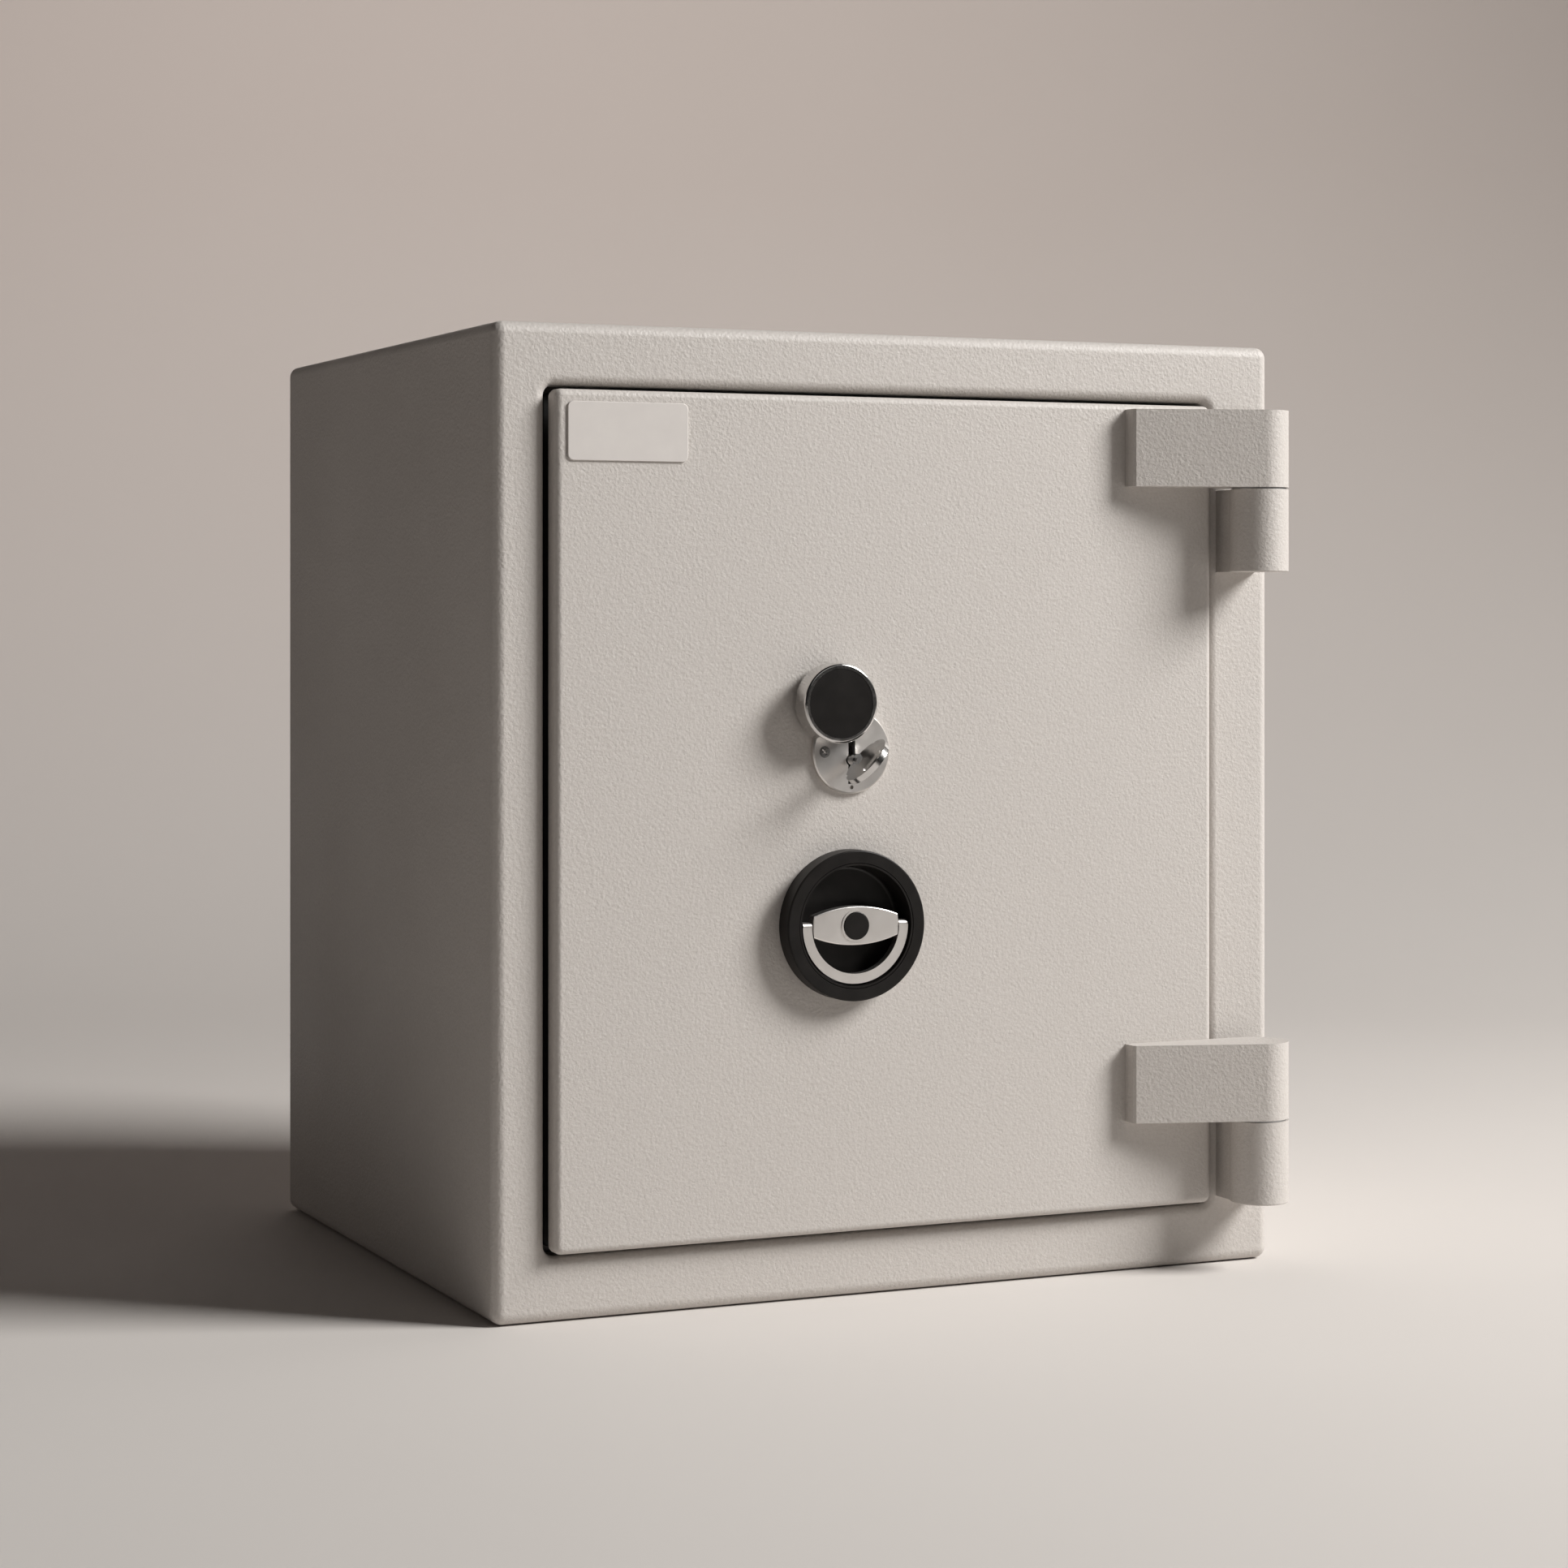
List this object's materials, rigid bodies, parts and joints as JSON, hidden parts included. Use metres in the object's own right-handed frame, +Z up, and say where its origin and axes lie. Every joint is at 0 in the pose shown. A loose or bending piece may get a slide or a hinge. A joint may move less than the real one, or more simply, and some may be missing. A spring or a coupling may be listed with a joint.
{
  "type": "fireproof document safe",
  "caption": "Free-standing fire-resistant document safe with an external-hinged swing door, key lock under a swivel cover and a recessed ring handle.",
  "frame": {"origin": "centre of the body's base footprint, on the floor", "axes": "+X to the right seen from the front, +Y to the rear, +Z up; the door faces -Y"},
  "size_m": [0.44, 0.402, 0.49],
  "materials": {
    "safe_paint": "light warm grey textured powder coat",
    "jamb_paint": "mid grey satin coat",
    "liner_paint": "light grey smooth coat",
    "fire_fill": "cast fire-resistant compound",
    "seal_strip": "swelling fire seal",
    "plain_steel": "zinc plated steel",
    "bright_steel": "turned steel",
    "brass_bush": "plain turned brass",
    "satin_nickel": "satin nickel",
    "polished_nickel": "polished nickel",
    "black_plastic": "black satin plastic",
    "badge_face": "plain pale plate"
  },
  "bodies": {
    "safe_body": {"front_frame": "safe_paint", "body_wrap": "safe_paint", "rear_panel": "safe_paint", "stop_flange": "jamb_paint", "jamb_wall": "jamb_paint", "jamb_return": "jamb_paint", "fire_seal": "seal_strip", "liner_wrap": "liner_paint", "liner_back": "liner_paint", "body_fill": "fire_fill", "anchor_sleeves": "plain_steel", "shelf_rails": "liner_paint", "shelf": "liner_paint", "hinge_knuckle_lower": "safe_paint", "hinge_knuckle_upper": "safe_paint", "hinge_pins": "plain_steel", "hinge_washers": "plain_steel"},
    "door": {"door_plate": "safe_paint", "door_pan": "jamb_paint", "door_fill": "fire_fill", "hardplate": "plain_steel", "mounting_plate": "plain_steel", "spindle_bushing": "brass_bush", "door_inner_cover": "liner_paint", "cover_posts": "plain_steel", "cover_screws": "plain_steel", "dog_bar": "jamb_paint", "badge_plate": "badge_face", "escutcheon": "satin_nickel", "escutcheon_screws": "polished_nickel", "cover_rivet": "polished_nickel", "lock_case": "plain_steel", "lock_screws": "plain_steel", "handle_housing": "black_plastic", "guide_studs": "plain_steel", "bolt_guides": "plain_steel", "hinge_arm_lower": "safe_paint", "hinge_arm_upper": "safe_paint"},
    "handle": {"handle_rotor": "black_plastic", "handle_bridge": "satin_nickel", "hub_ring": "satin_nickel", "hub_cap": "black_plastic", "bail_pins": "satin_nickel", "spindle": "plain_steel", "drive_cam": "plain_steel"},
    "bail": {"bail": "satin_nickel"},
    "bolts": {"bolt_carriage": "plain_steel", "live_bolts": "bright_steel"},
    "lock_cover": {"lock_cover": "polished_nickel", "cover_insert": "black_plastic"},
    "key": {"key": "polished_nickel"},
    "lock_bolt": {"lock_bolt": "plain_steel"}
  },
  "joints": [
    {"name": "door_swing", "type": "hinge", "parent": "safe_body", "child": "door", "pos_m": [0.199, -0.204, 0.245], "axis": [0, 0, 1], "range_deg": [0, 180]},
    {"name": "handle_turn", "type": "hinge", "parent": "door", "child": "handle", "pos_m": [-0.0338, -0.19, 0.19], "axis": [0, -1, 0], "range_deg": [0, 90]},
    {"name": "bolt_slide", "type": "slide", "parent": "door", "child": "bolts", "axis": [-1, 0, 0], "range_m": [0, 0.0198]},
    {"name": "bail_lift", "type": "hinge", "parent": "handle", "child": "bail", "pos_m": [-0.0338, -0.1951, 0.19], "axis": [-1, 0, 0], "range_deg": [0, 180]},
    {"name": "cover_swing", "type": "hinge", "parent": "door", "child": "lock_cover", "pos_m": [-0.033, -0.195, 0.2924], "axis": [0, 1, 0], "range_deg": [0, 100]},
    {"name": "key_turn", "type": "hinge", "parent": "door", "child": "key", "pos_m": [-0.033, -0.19, 0.273], "axis": [0, 1, 0], "range_deg": [-42, 138]},
    {"name": "lock_bolt_slide", "type": "slide", "parent": "door", "child": "lock_bolt", "axis": [0, 0, 1], "range_m": [-0.00613, 0.00187]}
  ],
  "couplings": [
    {"joint": "handle_turn", "follows": "bolt_slide", "rad_per_m": 79.33},
    {"joint": "key_turn", "follows": "lock_bolt_slide", "rad_per_m": -392.7}
  ]
}
